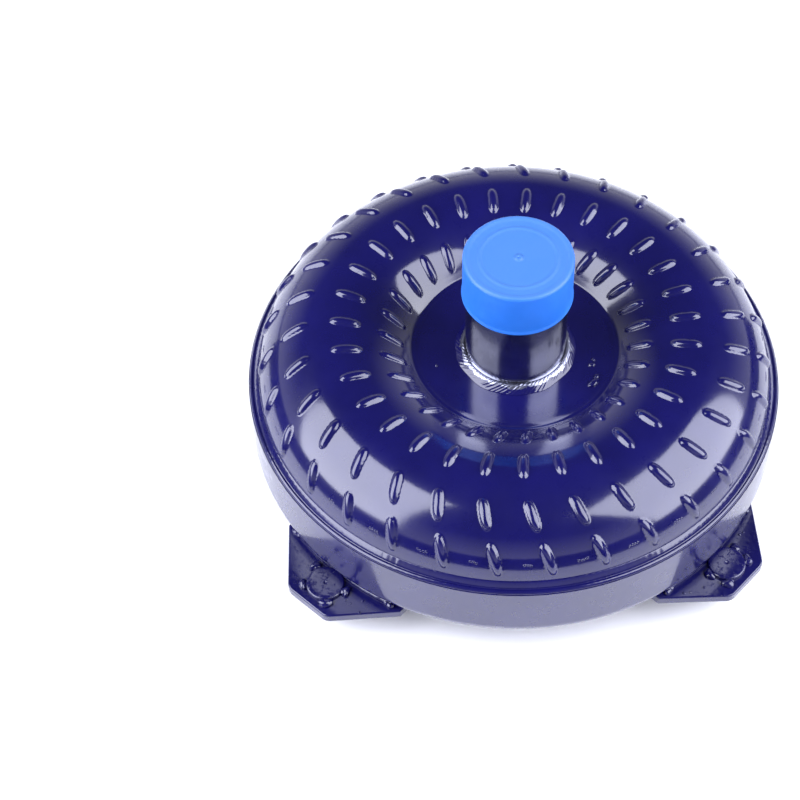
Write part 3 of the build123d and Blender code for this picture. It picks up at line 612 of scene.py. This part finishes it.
def spatter_spots():
    """Blobs where each lug's weld starts and stops, and small beads of spatter on the lugs."""
    draw = random.Random(41)
    spots = []
    for azimuth in LUG_AZIMUTHS:
        for side in (-1, 1):
            for step in (0, 1):
                place = at((125.0 + step * 0.8) * MM, azimuth + side * (13.0 + step), LUG_TOP + 0.7 * MM)
                spots.append((place, (1.3 * MM, 2.0 * MM, 1.1 * MM), azimuth + side * 14))
        for _ in range(9):
            place = at(draw.uniform(128.6, 136) * MM, azimuth + draw.uniform(-12, 12), LUG_TOP)
            size = draw.uniform(0.35, 0.8) * MM
            spots.append((place, (size, size * draw.uniform(0.8, 1.2), size * 0.8), draw.uniform(0, 180)))
    return spots


def lug_bead():
    """The rippled run of weld between each lug and the band's rounded corner."""
    vertices, faces, columns, rows = [], [], 90, 10
    for index, azimuth in enumerate(LUG_AZIMUTHS):
        fast = ripple(50 + index, (95, 131, 170), 0.12 * MM)
        slow = ripple(60 + index, (11, 17, 29), 0.30 * MM)
        turn = np.radians(azimuth + np.linspace(-LUG_BEAD_HALF_SPAN, LUG_BEAD_HALF_SPAN, columns))
        around = np.linspace(0, 2 * math.pi, rows, endpoint=False)
        girth, t = np.meshgrid(around, turn, indexing="ij")
        size = LUG_BEAD_SIZE + fast(t) + slow(t)
        r = LUG_BEAD_R + size * np.cos(girth)
        z = LUG_TOP + 0.9 * MM + 0.85 * size * np.sin(girth)
        vertices.append(np.stack([r * np.cos(t), r * np.sin(t), z], -1).reshape(-1, 3))
        quads = grid_faces(rows, columns, wrap_rows=True)
        column = quads % columns
        open_run = column.max(1) - column.min(1) == 1
        faces.append(quads[open_run][:, ::-1] + index * rows * columns)
    return new_object("lug_bead", np.concatenate(vertices), np.concatenate(faces), lug_paint)


def stake_marks():
    """Groups of tiny round punch marks between the outer bumps."""
    draw = random.Random(71)
    profile = MM * np.array(((0.12, -0.06), (0.30, 0.02), (0.44, 0.17), (0.58, 0.13), (0.74, -0.06)))
    slope = math.asin((STAKE_Z - TORUS_Z) / TORUS_ARC)
    radius = TORUS_R + TORUS_ARC * math.cos(slope)
    turn = np.linspace(0, 2 * math.pi, 12, endpoint=False)
    vertices, faces = [], []
    for group in range(FIN_COUNT):
        azimuth = math.radians(STAKE_AZIMUTH + group * 360 / FIN_COUNT)
        for mark in range(draw.choice((3, 4))):
            theta = azimuth + (mark - 1.5) * STAKE_PITCH / radius + draw.uniform(-0.1, 0.1) * MM / radius
            tilt = slope + draw.uniform(-0.35, 0.35) * MM / TORUS_ARC
            radial = np.array((math.cos(theta), math.sin(theta), 0))
            out = radial * math.cos(tilt) + np.array((0, 0, math.sin(tilt)))
            side = np.array((-math.sin(theta), math.cos(theta), 0))
            up = np.cross(out, side)
            centre = radial * TORUS_R + np.array((0, 0, TORUS_Z)) + out * TORUS_ARC
            circle = np.cos(turn)[:, None] * side + np.sin(turn)[:, None] * up
            offset = len(vertices) * len(turn)
            vertices += [centre + out * lift + r * circle for r, lift in profile]
            faces.append(grid_faces(len(profile), len(turn), offset=offset, flip=True))
    return new_object("stake_marks", np.concatenate(vertices), np.concatenate(faces), shell_paint)


def cap():
    """The moulded cap: a rolled rim, a shallow dished top with one raised ring, and its gate mark."""
    low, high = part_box("hub_cap")[0].z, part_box("hub_cap")[1].z
    top = high - 0.55 * MM
    skirt = ((23.55, 0), (25.6, 0), (25.9, 0.5), (25.75, 1.2), (25.5, 1.6))
    rim = ((23.1, 0.43), (22.5, 0.13), (21.8, 0))
    raised_ring = ((18.6, 0), (18.3, 0.22), (17.4, 0.22), (17.1, 0))
    gate = ((1.9, 0), (1.7, 0.35), (0.9, 0.4), (AXIS_R / MM, 0.2))
    outline = [(r * MM, low + z * MM) for r, z in skirt]
    outline += [(25.4 * MM, high - 2.2 * MM)]
    outline += [tuple(point) for point in arc((23.9 * MM, high - 1.6 * MM), 1.55 * MM, 8, 95, 10)]
    outline += [(r * MM, top + z * MM) for r, z in rim + raised_ring + gate]
    outline += [(AXIS_R, high - 2.0 * MM), (23.55 * MM, high - 2.0 * MM)]
    sag = ripple(81, (2, 3, 5), 0.10 * MM)

    def uneven(r, z, turn):
        return r, z + np.where(z > top - 0.2 * MM, sag(turn) * np.clip(r / (20 * MM), 0, 1), 0)

    return revolve("moulded_cap", refine(outline, 1.2 * MM), 192, cap_plastic, uneven)


attach(impeller_shell(), "housing", "blue_paint", "impeller_shell")
attach(closure_weld(), "housing", "blue_paint", "closure_weld")
attach(hub_weld(), "housing", "bare_weld", "hub_weld")
attach(lumps("stud_tacks", tack_spots(), lug_paint, 32), "housing", "blue_paint", "stud_welds")
attach(lug_bead(), "housing", "blue_paint", "lug_welds")
attach(lumps("weld_spatter", spatter_spots(), lug_paint, 42), "housing", "blue_paint")
attach(stake_marks(), "housing", "blue_paint")
for stud_index, stud_azimuth in enumerate(LUG_AZIMUTHS, 1):
    attach(threaded_stud(stud_index, stud_azimuth), "housing", "stud_steel", f"mounting_stud_{stud_index}")
paint_blobs = [(MM * np.array(centre), MM * np.array(size), azimuth) for centre, size, azimuth in PAINT_BLOBS]
attach(lumps("paint_blobs", paint_blobs, shell_paint, 91), "housing", "blue_paint")
attach(cap(), "hub_cap", "blue_plastic", "hub_cap")


# ---------------------------------------------------------------- camera, lights and floor
VIEW_DISTANCE, VIEW_ELEVATION, VIEW_AZIMUTH, VIEW_ROLL = 1.001, 52.99, -96.0, 2.27
VIEW_LENS, VIEW_SHIFT = 91.53, -0.1414
VIEW_AIM = Vector((0, 0, 15.8 * MM))
FLOOR_HALF = 4.0
FLAG_R, FLAG_TOP = 0.36, 71.0 * MM
LIGHT_TINT = (0.86, 0.88, 1.0)
LIGHT_DISTANCE = 1.2
LIGHT_AIM = Vector((0, 0, 0.03))


def direction(azimuth, elevation):
    """The unit vector for an azimuth and an elevation in degrees."""
    turn, rise = math.radians(azimuth), math.radians(elevation)
    return Vector((math.cos(rise) * math.cos(turn), math.cos(rise) * math.sin(turn), math.sin(rise)))


def looking(line, roll):
    """The rotation that looks along a line, turned by a roll in degrees."""
    return line.to_track_quat("-Z", "Y").to_matrix() @ Matrix.Rotation(math.radians(roll), 3, "Z")


camera_data = bpy.data.cameras.new("camera")
camera_data.lens = VIEW_LENS
camera_data.sensor_width = 36.0
camera_data.shift_x = VIEW_SHIFT
camera = bpy.data.objects.new("camera", camera_data)
camera_side = direction(VIEW_AZIMUTH, VIEW_ELEVATION)
camera.matrix_world = Matrix.Translation(VIEW_AIM + camera_side * VIEW_DISTANCE) @ (
    looking(-camera_side, VIEW_ROLL).to_4x4()
)
bpy.context.scene.collection.objects.link(camera)
bpy.context.scene.camera = camera

floor_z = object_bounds()[0][2]
floor_material, _, floor_shader, _ = material("floor_white")
floor_shader.inputs["Base Color"].default_value = grey(0.94)
floor_shader.inputs["Roughness"].default_value = 0.6
corners = [(x * FLOOR_HALF, y * FLOOR_HALF, floor_z) for x, y in ((-1, -1), (1, -1), (1, 1), (-1, 1))]
new_object("floor", corners, [(0, 1, 2, 3)], floor_material)


def studio_world():
    """A dark room whose pale backdrop glows a little near the horizon. The camera itself sees plain white."""
    world = bpy.data.worlds.new("studio")
    bpy.context.scene.world = world
    world.use_nodes = True
    tree = world.node_tree
    background = tree.nodes["Background"]
    where = tree.nodes.new("ShaderNodeTexCoord").outputs["Generated"]
    split = tree.nodes.new("ShaderNodeSeparateXYZ")
    tree.links.new(where, split.inputs["Vector"])
    glow = ramp(tree, split.outputs["Z"], 0.02, 0.55, (0.95, 0.95, 1.0, 1), (0.07, 0.07, 0.09, 1))
    seen = tree.nodes.new("ShaderNodeLightPath").outputs["Is Camera Ray"]
    tree.links.new(mix_colour(tree, seen, glow, (1, 1, 1, 1)), background.inputs["Color"])
    background.inputs["Strength"].default_value = 1.0


def softbox(name, azimuth, elevation, width, height, radiance, roll=0.0):
    """A softbox seen from the object in that direction, with its brightness given as radiance."""
    data = bpy.data.lights.new(name, "AREA")
    data.shape = "RECTANGLE"
    data.size, data.size_y = width, height
    data.energy = radiance * math.pi * width * height
    data.color = LIGHT_TINT
    lamp = bpy.data.objects.new(name, data)
    lamp.location = direction(azimuth, elevation) * LIGHT_DISTANCE
    lamp.rotation_euler = looking(LIGHT_AIM - lamp.location, roll).to_euler()
    bpy.context.scene.collection.objects.link(lamp)


def dark_table_ends():
    """Black flags round the white table, which only its reflections show."""
    azimuths = np.linspace(-210, 30, 61)
    lower = [tuple(at(FLAG_R, azimuth, floor_z)) for azimuth in azimuths]
    upper = [tuple(at(FLAG_R, azimuth, FLAG_TOP)) for azimuth in azimuths]
    count = len(azimuths)
    faces = [(k, k + 1, count + k + 1, count + k) for k in range(count - 1)]
    black, tree, shader, place = material("flag_black")
    cloth = ramp(tree, noise(tree, place, 12), 0.3, 0.7, (0.004, 0.004, 0.006, 1), (0.008, 0.008, 0.011, 1))
    tree.links.new(cloth, shader.inputs["Base Color"])
    shader.inputs["Specular IOR Level"].default_value = 0.0
    flags = new_object("flags", lower + upper, faces, black)
    flags.visible_camera = flags.visible_diffuse = flags.visible_shadow = False


bpy.context.scene.view_settings.view_transform = "Standard"
studio_world()
dark_table_ends()
softbox("left_box", -166, 36, 1.10, 1.39, 7.6, roll=14)
softbox("right_box", -16, 35.5, 1.25, 1.30, 7.0)
